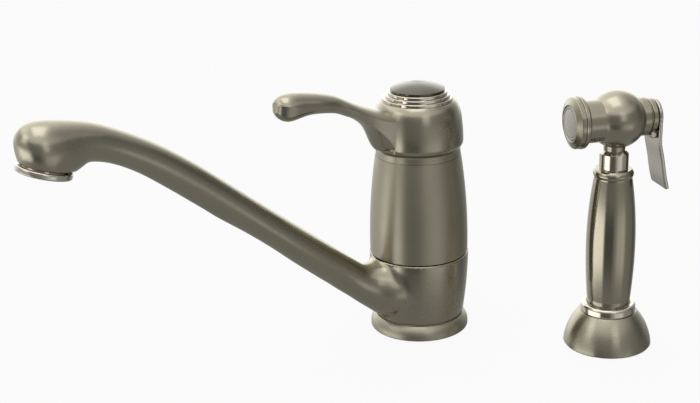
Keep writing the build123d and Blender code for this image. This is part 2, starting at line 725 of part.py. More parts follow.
# ---- Spray holder ---------------------------------------------------------------------------
with BuildPart() as spray_holder:
    with BuildSketch(holder_plane):
        with BuildLine():
            foot = Polyline((shank_radius + running_gap, gasket_thickness),
                            (holder_radius - 4.0, gasket_thickness), (holder_radius - 4.0, 0),
                            (holder_radius - 0.6, 0), (holder_radius, 0.8), (holder_radius - 0.2, 2.6))
            bell = ThreePointArc(foot @ 1, (22.5, 10.4), (collar_radius + 1.0, holder_height - 0.4))
            Polyline(bell @ 1, (collar_radius + 0.6, holder_height),
                     (shank_radius + running_gap, holder_height), foot @ 0)
        make_face()
    revolve(axis=holder_axis)

holder_gasket = ring(shank_radius + free_gap, holder_radius - 4.2, 0, gasket_thickness, holder_axis)

bush_flange = bush_bore + 2.35
seat_height = 22.0
with BuildPart() as holder_shank:
    with BuildSketch(holder_plane):
        with BuildLine():
            stem = Polyline((shank_bore, holder_height), (shank_bore, -shank_depth),
                            (shank_radius, -shank_depth), (shank_radius, holder_height),
                            (collar_radius - 0.3, holder_height), (collar_radius, holder_height + 0.6),
                            (collar_radius, collar_top - 1.6))
            lip = ThreePointArc(stem @ 1, (collar_radius - 0.5, collar_top - 0.5),
                                (collar_radius - 1.6, collar_top))
            Polyline(lip @ 1, (bush_flange + thread_gap, collar_top),
                     (bush_flange + thread_gap, holder_height), stem @ 0)
        make_face()
    revolve(axis=holder_axis)

cone_rise = 3.0
with BuildPart() as holder_bush:
    revolve(outline(
        holder_plane, (bush_bore, 4.0), (shank_bore - thread_gap, 4.0),
        (shank_bore - thread_gap, holder_height), (bush_flange, holder_height), (bush_flange, collar_top - 0.2),
        (bush_bore + 1.9, collar_top - 0.2), (bush_bore, collar_top - 0.2 - cone_rise)), axis=holder_axis)

under_deck = -deck_thickness
holder_washer = ring(shank_radius + thread_gap, 21.0, under_deck - 1.6, under_deck, holder_axis)
with BuildPart() as holder_nut:
    with BuildSketch(Plane(origin=(spray_pitch, 0, under_deck - 1.6))):
        RegularPolygon(18.0, 6, major_radius=False)
        Circle(shank_radius + thread_gap, mode=Mode.SUBTRACT)
    extrude(amount=-6.0)

# ---- Spray grip, hose connector and neck ----------------------------------------------------
grip_bore = 6.0
grip_foot_radius = bush_bore + 1.9 - 0.15
with BuildPart() as spray_handle:
    with BuildSketch(holder_plane):
        with BuildLine():
            plug = Polyline((grip_bore, grip_foot), (grip_plug_radius, grip_foot),
                            (grip_plug_radius, collar_top - 0.1 - cone_rise),
                            (grip_foot_radius, collar_top - 0.1), (grip_foot_radius + 0.1, collar_top + 3.0))
            below, above = grip_belly - collar_top - 3.0, grip_neck - grip_belly
            grip = Spline(plug @ 1, (grip_radius - 0.8, grip_belly - 0.672 * below), (grip_radius, grip_belly),
                          (grip_radius - 0.75, grip_belly + 0.559 * above), (grip_neck_radius, grip_neck))
            neck = Polyline(grip @ 1, (grip_neck_radius, grip_neck + 0.6),
                            (grip_neck_radius + 0.2, grip_neck + 0.8))
            bead = ThreePointArc(neck @ 1, (bead_radius + 0.1, grip_neck + 2.8), (bead_radius - 1.2, grip_top))
            Polyline(bead @ 1, (grip_bore, grip_top), plug @ 0)
        make_face()
    revolve(axis=holder_axis)

with BuildPart() as hose_connector:
    with BuildSketch(Plane(origin=(spray_pitch, 0, grip_foot - 5.0))):
        RegularPolygon(8.4, 6, major_radius=True)
    extrude(amount=5.0)
    with BuildSketch(Plane(origin=(spray_pitch, 0, grip_foot))):
        Circle(grip_bore - thread_gap)
    extrude(amount=9.0)
    with BuildSketch(Plane(origin=(spray_pitch, 0, grip_foot - 5.0))):
        Circle(6.6)
    extrude(amount=-9.0)
    with BuildSketch(Plane(origin=(spray_pitch, 0, grip_foot - 14.0))):
        Circle(hose_way)
    extrude(amount=23.0, mode=Mode.SUBTRACT)
    with BuildSketch(Plane(origin=(spray_pitch, 0, grip_foot - 14.0))):
        Circle(inlet_radius)
    extrude(amount=inlet_depth, mode=Mode.SUBTRACT)

ball_spigot = 6.0
spigot_foot = ferrule_top - 7.0
with BuildPart() as neck_ferrule:
    revolve(outline(
        holder_plane, (hose_way, grip_top - 8.0), (grip_bore - thread_gap, grip_top - 8.0),
        (grip_bore - thread_gap, grip_top), (ferrule_radius, grip_top), (ferrule_radius, ferrule_top - 1.8),
        (ferrule_radius - 1.6, ferrule_top), (ball_spigot + thread_gap, ferrule_top),
        (ball_spigot + thread_gap, spigot_foot - 0.5), (hose_way, spigot_foot - 0.5)), axis=holder_axis)

# ---- Spray head, turned about the nozzle's axis ---------------------------------------------
chamber_radius = 7.0
chamber_front = 6.0
seat_wall = 2.5
front_bore = barrel_radius - 1.9
rear_thread = 8.4
rear_spigot_front = -8.0
ball_face_radius = sqrt(ball_radius ** 2 - (ball_back - ball_centre) ** 2)
barrel_join = ball_centre + sqrt(ball_radius ** 2 - barrel_radius ** 2)
with BuildPart() as spray_body:
    with BuildSketch(nozzle_plane):
        with BuildLine():
            skin = ThreePointArc((ball_back, ball_face_radius), (ball_centre, ball_radius),
                                 (barrel_join, barrel_radius))
            Polyline(skin @ 1, (barrel_front, barrel_radius), (barrel_front, front_bore),
                     (chamber_front + seat_wall, front_bore), (chamber_front + seat_wall, hose_way),
                     (chamber_front, hose_way), (chamber_front, chamber_radius),
                     (rear_spigot_front, chamber_radius), (rear_spigot_front, rear_thread + thread_gap),
                     (ball_back, rear_thread + thread_gap), skin @ 0)
        make_face()
    revolve(axis=nozzle_axis)
    with BuildSketch(Plane(origin=(spray_pitch, 0, spigot_foot))):
        Circle(ball_spigot)
        Circle(hose_way, mode=Mode.SUBTRACT)
    extrude(amount=nozzle_height - chamber_radius - spigot_foot + 0.5)
    with BuildSketch(Plane(origin=(spray_pitch, 0, spigot_foot))):
        Circle(hose_way)
    extrude(amount=nozzle_height - spigot_foot, mode=Mode.SUBTRACT)

# The bezel: a rounded back rim, two flat bands with a fine groove between them, then a cone to the face.
bezel_back = barrel_front
bezel_corner = face_front - 1.9
face_wall = face_radius + thread_gap
insert_bore = front_bore - 1.6
with BuildPart() as nose_bezel:
    revolve(outline(
        nozzle_plane, (chamber_front + seat_wall + 1.5, insert_bore),
        (chamber_front + seat_wall + 1.5, front_bore - thread_gap), (bezel_back, front_bore - thread_gap),
        (bezel_back, bezel_radius - 1.5), (bezel_back + 0.2, bezel_radius - 0.8),
        (bezel_back + 0.6, bezel_radius - 0.6), (bezel_back + 0.8, bezel_radius - 0.9),
        (bezel_back + 1.0, bezel_radius - 0.1), (bezel_back + 1.2, bezel_radius),
        (bezel_back + 2.6, bezel_radius), (bezel_back + 2.9, bezel_radius - 0.3),
        (bezel_back + 3.0, bezel_radius - 0.8), (bezel_back + 3.2, bezel_radius - 0.8),
        (bezel_back + 3.3, bezel_radius - 0.3), (bezel_corner, bezel_radius - 0.3),
        (bezel_corner + 0.3, bezel_radius - 0.5), (face_front, face_wall + 0.9),
        (face_front - 0.1, face_wall + 0.5), (face_front - 0.7, face_wall), (face_front - 3.0, face_wall),
        (face_front - 3.0, insert_bore)), axis=nozzle_axis)

notch_radius = 0.42
notch_circle = face_radius - 1.3
with BuildPart() as spray_face:
    with BuildSketch(nozzle_plane):
        with BuildLine():
            cup = Polyline((face_front - 1.6, 0), (face_front - 1.6, face_radius - 3.0),
                           (face_front - 3.0, face_radius - 3.0), (face_front - 3.0, face_radius),
                           (face_front - 0.4, face_radius), (face_front, face_radius - 0.4),
                           (face_front, face_radius - 0.9), (face_front - 0.2, face_radius - 1.1))
            dome = TangentArc((face_front + 0.6, 0), cup @ 1, tangent=(0, 1))
            Line(dome @ 0, cup @ 0)
        make_face()
    revolve(axis=nozzle_axis)
    with BuildSketch(Plane(origin=nozzle_plane.from_local_coords((face_front - 3.5, 0)),
                           x_dir=(0, 0, 1), z_dir=nozzle_plane.x_dir)):
        with PolarLocations(notch_circle, notch_count):
            Circle(notch_radius)
    extrude(amount=4.5, mode=Mode.SUBTRACT)

with BuildPart() as spray_insert:
    with BuildSketch(Plane(origin=nozzle_plane.from_local_coords((face_front - 3.1, 0)),
                           x_dir=(0, 0, 1), z_dir=nozzle_plane.x_dir)):
        Circle(insert_bore - thread_gap)
        with PolarLocations(face_radius - 4.4, 8):
            Circle(1.0, mode=Mode.SUBTRACT)
    extrude(amount=-1.5)

gland = 3.4
spring_pocket = 5.4
groove_end = rear_back + 4.3
second_radius = rear_radius - 0.9
across_plane = Plane(origin=spray_side.origin, x_dir=spray_side.z_dir, z_dir=-spray_side.x_dir)
pocket_end = rear_back + 4.6
rod_bore = valve_rod_radius + running_gap
ear_side = lug_half_width + ear_thickness + 0.4
with BuildPart() as rear_collar:
    revolve(outline(
        nozzle_plane, (rear_spigot_front - 0.1, spring_pocket), (rear_spigot_front - 0.1, rear_thread),
        (ball_back, rear_thread), (ball_back, rear_radius - 0.4), (ball_back - 0.5, rear_radius),
        (groove_end + 0.8, rear_radius), (groove_end + 0.2, rear_radius - 0.5),
        (groove_end, rear_radius - 1.7), (groove_end - 0.8, rear_radius - 1.7),
        (groove_end - 0.9, second_radius - 0.4), (groove_end - 1.3, second_radius),
        (rear_back + 1.0, second_radius), (rear_back + 0.3, second_radius - 0.4),
        (rear_back, second_radius - 1.0), (rear_back, rod_bore), (rear_back + 1.2, rod_bore),
        (rear_back + 1.2, gland), (rear_back + 3.2, gland), (rear_back + 3.2, rod_bore),
        (pocket_end, rod_bore), (pocket_end, spring_pocket)), axis=nozzle_axis)
    with BuildSketch(spray_side):
        with Locations((pin_out, pin_height + lug_radius / 2)):
            Rectangle(2 * lug_radius, lug_radius)
        with Locations((pin_out, pin_height)):
            Circle(lug_radius)
    extrude(amount=lug_half_width, both=True)
    for side in (1, -1):
        with BuildSketch(spray_side.offset(side * lug_half_width)):
            with Locations(((rear_back + pin_out + lug_radius + 0.5) / 2 - 1.0, pin_height - 2.0)):
                Rectangle(pin_out + lug_radius + 2.5 - rear_back, 2 * (lug_radius + 2.5))
        extrude(amount=side * 10.0, mode=Mode.SUBTRACT)
    with BuildSketch(spray_side):
        with Locations((pin_out, pin_height)):
            Circle(pin_radius + thread_gap)
    extrude(amount=lug_half_width + 0.5, both=True, mode=Mode.SUBTRACT)

seal_half = (gland - valve_rod_radius - seal_gap) / 2
stem_o_ring = o_ring(gland - seal_half, seal_half, rear_back + 2.2, nozzle_axis)

# ---- Spray valve and trigger ----------------------------------------------------------------
pad_inner = rear_back - free_gap
pad_outer = pad_inner - plate_thickness
plug_back = ball_centre + 2.4
plug_thickness = 2.0
valve_plug_radius = 5.6
with BuildPart() as valve_stem:
    revolve(outline(
        nozzle_plane, (pad_outer - 1.2, 0), (pad_outer - 1.2, valve_rod_radius),
        (plug_back, valve_rod_radius), (plug_back, valve_plug_radius),
        (plug_back + plug_thickness, valve_plug_radius), (plug_back + plug_thickness, 0)), axis=nozzle_axis)

valve_washer = ring(0, valve_plug_radius - 0.3, plug_back + plug_thickness, chamber_front - 0.1, nozzle_axis)

button_radius = 4.2
with BuildPart() as stem_button:
    revolve(outline(
        nozzle_plane, (pad_outer - free_gap, valve_rod_radius + thread_gap),
        (pad_outer - free_gap, button_radius - 0.6), (pad_outer - 0.7, button_radius),
        (pad_outer - 1.4, button_radius), (pad_outer - 2.1, button_radius - 1.2), (pad_outer - 2.1, 0),
        (pad_outer - 1.22, 0), (pad_outer - 1.22, valve_rod_radius + thread_gap)), axis=nozzle_axis)

ear_inner = lug_half_width + 0.25
ear_outer = ear_inner + ear_thickness
with BuildPart() as trigger_pin:
    with BuildSketch(spray_side):
        with Locations((pin_out, pin_height)):
            Circle(pin_radius)
    extrude(amount=ear_outer + 0.1, both=True)
    for side in (1, -1):
        with BuildSketch(spray_side.offset(side * (ear_outer + 0.1))):
            with Locations((pin_out, pin_height)):
                Circle(pin_head_radius)
        extrude(amount=side * 0.9)
    fillet(trigger_pin.edges().filter_by(GeomType.CIRCLE).group_by(
        Axis(spray_side.origin, spray_side.z_dir))[0].sort_by(SortBy.RADIUS)[-1:], 0.6)
    fillet(trigger_pin.edges().filter_by(GeomType.CIRCLE).group_by(
        Axis(spray_side.origin, spray_side.z_dir))[-1].sort_by(SortBy.RADIUS)[-1:], 0.6)

# The trigger: a round plate behind the head that runs down into a thumb plate and swings out at its foot.
pad_top = nozzle_height + pad_radius + 1.0
plate_inner = [(pad_inner, pad_top), (pad_inner, pin_height + 2.6)] + [
    (pin_out + out, pin_height + up)
    for out, up in ((-2.4, -5.2), (-3.9, -12.4), (-5.6, -21.5), (-8.2, -32.4))]
plate_outer = [(out - plate_thickness, height + 0.5) for out, height in reversed(plate_inner[2:])]
plate_foot = plate_inner[-1][1] - 0.4
with BuildPart() as trigger_lever:
    with BuildSketch(spray_side):
        with BuildLine():
            inside = Polyline(*plate_inner[:2])
            bend = Spline(*plate_inner[1:], tangents=[(0, -1), (-0.3, -1)])
            tip = Line(bend @ 1, plate_outer[0])
            back = Spline(*plate_outer, (pad_outer, pin_height + 2.6), tangents=[(0.3, 1), (0, 1)])
            Polyline(back @ 1, (pad_outer, pad_top), inside @ 0)
        make_face()
    extrude(amount=pad_radius, both=True)
    with BuildSketch(across_plane):
        with Locations((0, nozzle_height)):
            Circle(pad_radius)
        with BuildLine():
            Polyline((-plate_half_width, nozzle_height), (plate_half_width, nozzle_height),
                     (plate_half_width, plate_foot + 1.4), (plate_half_width - 1.4, plate_foot),
                     (1.4 - plate_half_width, plate_foot), (-plate_half_width, plate_foot + 1.4), close=True)
        make_face()
    extrude(amount=60.0, mode=Mode.INTERSECT)
    fillet(trigger_lever.edges(), plate_edge)
    for side in (1, -1):
        with BuildSketch(spray_side.offset(side * ear_inner)):
            with Locations((pin_out, pin_height)):
                Circle(lug_radius)
            with Locations(((pin_out + pad_inner) / 2 - 0.2, pin_height)):
                Rectangle(pin_out - pad_inner + 0.4, 2 * lug_radius)
        extrude(amount=side * ear_thickness)
    with BuildSketch(spray_side):
        with Locations((pin_out, pin_height)):
            Circle(pin_radius + running_gap)
    extrude(amount=pad_radius + 1.0, both=True, mode=Mode.SUBTRACT)
    with BuildSketch(across_plane):
        with Locations((0, nozzle_height + 0.45)):
            SlotOverall(2 * valve_rod_radius + 1.7, 2 * valve_rod_radius + 0.6, rotation=90)
    extrude(amount=60.0, mode=Mode.SUBTRACT)

# The spring that shuts the valve, coiled round its rod.
spring_wire = 0.45
spring_radius = 4.2
spring_turns = 6
spring_start = pocket_end + spring_wire + 0.05
spring_length = plug_back - spring_wire - 0.05 - spring_start
with BuildPart() as valve_spring:
    with BuildLine() as coil:
        Helix(pitch=spring_length / spring_turns, height=spring_length, radius=spring_radius,
              center=nozzle_plane.from_local_coords((spring_start, 0)), direction=nozzle_plane.x_dir)
    with BuildSketch(Plane(origin=coil.line @ 0, z_dir=coil.line % 0)):
        RegularPolygon(spring_wire, 6)
    sweep(path=coil.line, is_frenet=True)

pieces = {
    "aerator_gasket": aerator_gasket, "aerator_insert": aerator_insert, "aerator_ring": aerator_ring,
    "aerator_screen": aerator_screen, "barrel_sleeve": barrel_sleeve, "base_flange": base_flange,
    "base_gasket": base_gasket, "bonnet_ring": bonnet_ring, "cap_disc": cap_disc,
    "cap_trim_ring": cap_trim_ring, "cartridge_housing": cartridge_housing, "cartridge_nut": cartridge_nut,
    "cartridge_rotor": cartridge_rotor, "cartridge_stem": cartridge_stem, "clamp_gasket": clamp_gasket,
    "clamp_plate": clamp_plate, "disc_carrier": disc_carrier, "diverter_plunger": diverter_plunger,
    "diverter_seat": diverter_seat, "fixed_disc": fixed_disc, "handle_screw": handle_screw,
    "holder_bush": holder_bush, "holder_gasket": holder_gasket, "holder_nut": holder_nut,
    "holder_shank": holder_shank, "holder_washer": holder_washer, "hose_connector": hose_connector,
    "lever_handle": lever_handle, "lower_slip_ring": lower_slip_ring, "mounting_studs": mounting_studs,
    "moving_disc": moving_disc, "neck_ferrule": neck_ferrule, "nose_bezel": nose_bezel,
    "pivot_pin": pivot_pin, "rear_collar": rear_collar, "spindle_seals": spindle_seals, "spout": spout,
    "spray_body": spray_body, "spray_face": spray_face, "spray_handle": spray_handle,
    "spray_holder": spray_holder, "spray_insert": spray_insert, "stem_button": stem_button,
    "stem_o_ring": stem_o_ring, "stud_nuts": stud_nuts, "trigger_lever": trigger_lever,
    "trigger_pin": trigger_pin, "upper_slip_ring": upper_slip_ring, "valve_body": valve_body,
    "valve_spring": valve_spring, "valve_stem": valve_stem, "valve_washer": valve_washer,
}
os.makedirs("parts", exist_ok=True)
for name, piece in pieces.items():
    piece.part.label = name
    export_step(piece.part, f"parts/{name}.step")
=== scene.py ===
# %% [markdown]
# # A kitchen faucet with a side spray, dressed for its picture
#
# The solids come finished from the CAD model, so this file adds what a maker adds after casting and
# turning: the plating, the brushing, the polish, the mouldings' colour. Everything is in metres, the deck
# is z = 0, the faucet stands on the Z axis and the spray stands beside it on +X.

# %% The frame
from math import cos, pi, radians, sin

import bpy
import numpy as np
from mathutils import Matrix, Vector


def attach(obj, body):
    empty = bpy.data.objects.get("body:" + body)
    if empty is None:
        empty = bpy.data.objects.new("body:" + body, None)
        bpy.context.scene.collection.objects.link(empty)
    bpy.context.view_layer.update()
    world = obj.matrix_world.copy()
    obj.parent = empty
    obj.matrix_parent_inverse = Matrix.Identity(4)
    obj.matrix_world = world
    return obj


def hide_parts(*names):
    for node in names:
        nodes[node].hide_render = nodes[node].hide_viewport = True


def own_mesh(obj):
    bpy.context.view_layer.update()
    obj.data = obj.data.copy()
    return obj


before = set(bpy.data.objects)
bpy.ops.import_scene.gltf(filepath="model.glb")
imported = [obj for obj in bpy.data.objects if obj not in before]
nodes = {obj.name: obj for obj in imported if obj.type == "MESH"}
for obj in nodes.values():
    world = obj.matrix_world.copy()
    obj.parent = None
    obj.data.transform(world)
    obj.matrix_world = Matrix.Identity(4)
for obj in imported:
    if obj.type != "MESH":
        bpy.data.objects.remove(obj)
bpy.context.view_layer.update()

# %% [markdown]
# ## The camera
#
# The picture was taken from in front and a little to the right of the faucet, looking down by about
# 19.6 degrees, with a long lens. The camera's own axes are written as three directions of the world:
# to its right, up, and forward. A turn of 1.5 degrees about the forward axis levels the picture as it was
# taken. Three directions make a matrix with no guessing about the order of Euler angles.

# %% The camera
camera_data = bpy.data.cameras.new("camera")
camera_data.lens = 72.0
camera_data.sensor_width = 36.0
camera_data.clip_start = 0.05
camera = bpy.data.objects.new("camera", camera_data)
bpy.context.scene.collection.objects.link(camera)

camera_place = (0.1892, -0.7506, 0.3534)
right = Vector((0.9557, 0.2943, 0.0))
up = Vector((-0.0987, 0.3206, 0.9421))
forward = Vector((-0.2773, 0.9003, -0.3355))
roll = radians(1.457)
camera_x = right * cos(roll) - up * sin(roll)
camera_y = right * sin(roll) + up * cos(roll)
camera_turn = Matrix((camera_x, camera_y, -forward)).transposed().to_4x4()
camera.matrix_world = Matrix.Translation(camera_place) @ camera_turn
bpy.context.scene.camera = camera
bpy.context.scene.view_settings.view_transform = "Standard"
print("camera", camera_data.lens, "mm, at", camera_place)

# %% [markdown]
# ## Helpers for colours and nodes
#
# Colours are picked as sRGB hex values, the way a paint or plating chart gives them, but a shader
# calculates with linear light. One function turns the first into the second. Another one adds a node,
# sets it and links it in one line, so that a material reads from top to bottom like a recipe.
#
# Two things about Blender's nodes are worth a name. A colour Mix node has more sockets than it shows, and
# only their numbers tell them apart. And a noise node nearly always stays between 0.3 and 0.7, so that
# span, and not 0 to 1, is what a pattern is stretched from.


# %% Helpers for colours and nodes
def linear(hex_colour, shade=1.0):
    """An sRGB hex colour, at a share of its light, as the linear RGBA that a socket takes."""
    channels = [int(hex_colour[i:i + 2], 16) / 255 for i in (1, 3, 5)]
    channels = [c / 12.92 if c <= 0.04045 else ((c + 0.055) / 1.055) ** 2.4 for c in channels]
    return tuple(c * shade for c in channels) + (1.0,)


def add(tree, kind, inputs=None, **settings):
    """Adds a node. Inputs are socket name or number to a value or to another node's output."""
    made = tree.nodes.new("ShaderNode" + kind)
    for name, value in settings.items():
        setattr(made, name, value)
    for socket, value in (inputs or {}).items():
        if isinstance(value, bpy.types.NodeSocket):
            tree.links.new(value, made.inputs[socket])
        else:
            made.inputs[socket].default_value = value
    return made


def new_material(name):
    """An empty node material, its tree and its output node."""
    material = bpy.data.materials.new(name)
    material.use_nodes = True
    material.node_tree.nodes.clear()
    return material, material.node_tree, material.node_tree.nodes.new("ShaderNodeOutputMaterial")


mix_a, mix_b, mixed = 6, 7, 2  # a colour Mix node's two colours, and its result
noise_span = {"From Min": 0.3, "From Max": 0.7}
per_mm = 1000.0  # a pattern's scale is counted per metre, so this over a size in millimetres gives it
print("nickel in linear light:", [round(c, 3) for c in linear("#A59F8D")[:3]])

# %% [markdown]
# ## Satin nickel plate
#
# The faucet is cast and turned in brass, brushed with an abrasive belt, and nickel plated. Nickel is a
# warm grey, darker than chrome. The belt leaves scratches far finer than a pixel, and what the eye sees
# of them is how they smear a reflection across themselves and hardly at all along themselves. So each
# finish has a tangent that lies across the scratches, for the shader's anisotropy, and a stretched noise
# for the few strokes that are coarse enough to see. A turned piece was brushed round its own axis, and a
# cast arm along its length, so the finish is made once for each way.

# %% What a brushed and plated surface measures
nickel_colour = "#A59F8D"
stroke_width = 0.35  # mm, a bundle of scratches, as one alone is too fine to show
stroke_length = 9.0  # mm, as far as one stroke is seen
stroke_depth = 0.0002  # m, at a strength of 0.02 only a hint
cloud_size = 22.0  # mm, the slow change of tone that a plating bath leaves
cloud_shade = 0.86  # the darkest tone, as a share of the plain one
print("strokes", stroke_width, "x", stroke_length, "mm")


# %% Satin nickel
def satin_nickel(name, direction, centre=(0, 0, 0), turned=True, roughness=0.25, spread=0.75,
                 colour=nickel_colour):
    """Brushed nickel plate: strokes run round the axis on a turned piece, else along the direction."""
    material, tree, output = new_material(name)
    place = add(tree, "TexCoord").outputs["Object"]
    from_centre = add(tree, "VectorMath", {0: place, 1: Vector(centre)}, operation="SUBTRACT").outputs[0]

    # The tangent lies in the surface and across the scratches.
    scratches = add(tree, "CombineXYZ", {0: direction[0], 1: direction[1], 2: direction[2]}).outputs[0]
    if turned:
        scratches = add(tree, "VectorMath", {0: scratches, 1: from_centre},
                        operation="CROSS_PRODUCT").outputs[0]
    facing = add(tree, "NewGeometry").outputs["Normal"]
    tangent = add(tree, "VectorMath", {0: scratches, 1: facing}, operation="CROSS_PRODUCT").outputs[0]
    tangent = add(tree, "VectorMath", {0: tangent}, operation="NORMALIZE").outputs[0]

    # The frame of the strokes: local z is the axis of a turned piece, or the way of a belt.
    turn = Vector(direction).to_track_quat("Z", "Y").inverted().to_euler()
    across, along = per_mm / stroke_width, per_mm / stroke_length
    scale = (along, along, across) if turned else (across, across, along)
    aligned = add(tree, "Mapping", {"Vector": from_centre, "Rotation": turn}, vector_type="POINT")
    strokes_at = add(tree, "VectorMath", {0: aligned.outputs[0], 1: scale},
                     operation="MULTIPLY").outputs[0]
    strokes = add(tree, "TexNoise", {"Vector": strokes_at, "Scale": 1.0, "Detail": 3.0, "Roughness": 0.6})
    clouds = add(tree, "TexNoise", {"Vector": from_centre, "Scale": per_mm / cloud_size, "Detail": 2.0})

    tone = add(tree, "Mix", {"Factor": clouds.outputs["Fac"], mix_a: linear(colour),
                             mix_b: linear(colour, cloud_shade)}, data_type="RGBA")
    rough = add(tree, "MapRange", {"Value": strokes.outputs["Fac"], **noise_span,
                                   "To Min": roughness - 0.03, "To Max": roughness + 0.04})
    bump = add(tree, "Bump", {"Height": strokes.outputs["Fac"], "Strength": 0.02,
                              "Distance": stroke_depth})
    metal = add(tree, "BsdfPrincipled", {
        "Base Color": tone.outputs[mixed], "Metallic": 1.0, "Roughness": rough.outputs[0],
        "Anisotropic": spread, "Tangent": tangent, "Normal": bump.outputs[0]})
    tree.links.new(metal.outputs[0], output.inputs["Surface"])
    return material


# %% [markdown]
# ## Which way each piece was brushed
#
# The lathe work turns about an upright axis, the faucet's own or the spray's. The spray's nozzle was
# turned too, but lies down. The arm and the lever are castings, so they were held against a belt and are
# brushed along their length. The dome and the lever are one casting and share the belt's way.

# %% Directions of the pieces
upright = (0, 0, 1)
spout_turn = radians(229.1)  # where the spout points, from +X
arm_slope = radians(38.8)  # how steeply the arm rises
arm_direction = (cos(spout_turn) * cos(arm_slope), sin(spout_turn) * cos(arm_slope), sin(arm_slope))
lever_direction = (cos(spout_turn), sin(spout_turn), 0.25)
spray_place = (0.1122, 0, 0.1342)  # the middle of the spray's ball
nozzle_turn = radians(211.5)
nozzle_direction = (cos(nozzle_turn), sin(nozzle_turn), 0)
print("arm points along", [round(c, 3) for c in arm_direction])

# %% [markdown]
# ## The satin finishes
#
# Each piece got its own wear of belt. The big turned sleeve and flange are the softest, with broad bands of
# light. The grip was held against a fine wheel and is nearly bright. The cap disc in its trim ring is a
# darker copy of the same nickel: painted shade that dims its reflection of the bright room above it.

# %% The satin finishes
nickel_round = satin_nickel("satin_nickel_turned", upright, roughness=0.37, spread=0.45)
# The cap's colour is painted shade: the same satin nickel, darkened so that it shows the bright room above
# it less.
nickel_cap_painted_shade = satin_nickel("satin_nickel_cap_painted_shade", upright, roughness=0.22, colour="#615D52")
nickel_holder = satin_nickel("satin_nickel_holder", upright, centre=spray_place, roughness=0.28)
nickel_arm = satin_nickel("satin_nickel_belt_arm", arm_direction, turned=False, roughness=0.25,
                          spread=0.5)
nickel_lever = satin_nickel("satin_nickel_belt_lever", lever_direction, turned=False, roughness=0.24,
                            spread=0.3)
nickel_grip = satin_nickel("satin_nickel_grip", upright, centre=spray_place, roughness=0.15, spread=0.4)
nickel_nozzle = satin_nickel("satin_nickel_nozzle", nozzle_direction, centre=spray_place, roughness=0.25,
                             spread=0.3)
print("satin finishes:", [made.name for made in bpy.data.materials if made.name.startswith("satin")])

# %% [markdown]
# ## Polished nickel
#
# The stepped ring on the handle, the aerator, the holder's collar and the spray's neck were buffed before
# plating and stay mirrors. A mirror needs little from its own material: a low roughness that varies a
# little, as wiped metal does, and a very slight waviness so that edges of reflections aren't ruled lines.
# The trigger was pressed from sheet and then plated, which leaves it duller.

# %% What a polished surface measures
wave_size = 6.0  # mm, the waviness of a hand polish
wave_depth = 0.0005  # m, at a strength of 0.03 only a hint
wave_shade = 0.93
wipe_size = 2.5  # mm, the marks of wiping
print("polish waves", wave_size, "mm, wipe marks", wipe_size, "mm")


# %% Polished nickel
def polished_nickel(name, roughness=0.09, colour="#C9C2B4"):
    """Buffed nickel plate with the faint waviness of a hand polish."""
    material, tree, output = new_material(name)
    place = add(tree, "TexCoord").outputs["Object"]
    wave = add(tree, "TexNoise", {"Vector": place, "Scale": per_mm / wave_size, "Detail": 1.0})
    wipe = add(tree, "TexNoise", {"Vector": place, "Scale": per_mm / wipe_size, "Detail": 4.0})
    rough = add(tree, "MapRange", {"Value": wipe.outputs["Fac"], **noise_span,
                                   "To Min": roughness - 0.02, "To Max": roughness + 0.04})
    bump = add(tree, "Bump", {"Height": wave.outputs["Fac"], "Strength": 0.03, "Distance": wave_depth})
    tone = add(tree, "Mix", {"Factor": wave.outputs["Fac"], mix_a: linear(colour),
                             mix_b: linear(colour, wave_shade)}, data_type="RGBA")
    metal = add(tree, "BsdfPrincipled", {"Base Color": tone.outputs[mixed], "Metallic": 1.0,
                                         "Roughness": rough.outputs[0], "Normal": bump.outputs[0]})
    tree.links.new(metal.outputs[0], output.inputs["Surface"])
    return material


nickel_mirror = polished_nickel("polished_nickel")
nickel_trigger = polished_nickel("polished_nickel_pressed", roughness=0.22, colour="#B9B4AA")
print("polished finishes:", nickel_mirror.name, nickel_trigger.name)

# %% [markdown]
# ## What is inside and under the deck
#
# Taken apart, a faucet shows more stuffs than nickel: raw brass with fine turning rings, zinc-plated
# steel, stainless steel, the dense white alumina of the discs, black rubber and two plastics. They are
# all short recipes on one pattern, an abraded or moulded grain at its real size, so one function makes
# them, and each call says what the stuff is.


# %% Stock materials
def stock(name, light, dark, grain, roughness, metallic=0.0, bump=0.05, stretch=(1, 1, 1), **sockets):
    """A plain stuff with two close tones in a grain of so many millimetres."""
    material, tree, output = new_material(name)
    place = add(tree, "TexCoord").outputs["Object"]
    scaled = add(tree, "VectorMath", {0: place, 1: tuple(per_mm / grain * s for s in stretch)},
                 operation="MULTIPLY").outputs[0]
    noise = add(tree, "TexNoise", {"Vector": scaled, "Scale": 1.0, "Detail": 4.0, "Roughness": 0.55})
    tone = add(tree, "Mix", {"Factor": noise.outputs["Fac"], mix_a: linear(light), mix_b: linear(dark)},
               data_type="RGBA")
    rough = add(tree, "MapRange", {"Value": noise.outputs["Fac"], **noise_span,
                                   "To Min": roughness - 0.05, "To Max": roughness + 0.05})
    relief = add(tree, "Bump", {"Height": noise.outputs["Fac"], "Strength": bump, "Distance": 0.0003})
    surface = add(tree, "BsdfPrincipled", {
        "Base Color": tone.outputs[mixed], "Metallic": metallic, "Roughness": rough.outputs[0],
        "Normal": relief.outputs[0], **sockets})
    tree.links.new(surface.outputs[0], output.inputs["Surface"])
    return material


# %% The stock itself
# Brass off the lathe: warm yellow, with rings about the upright axis.
brass = stock("brass_turned", "#D8B56A", "#B8934C", 0.8, 0.28, metallic=1.0, stretch=(0.1, 0.1, 1))
# Zinc on steel: bluish grey and blotchy.
zinc_steel = stock("steel_zinc_plated", "#BFC0BC", "#9C9FA0", 1.6, 0.34, metallic=1.0)
# Drawn stainless wire and bar: clean and a little shiny.
stainless = stock("stainless_steel_drawn", "#C6C3BD", "#A5A29C", 0.5, 0.22, metallic=1.0)
# Lapped alumina: dense, white and so smooth that it shines like a tile.
alumina = stock("alumina_lapped", "#F0EEE8", "#E2DFD6", 0.4, 0.16, bump=0.01, IOR=1.76)
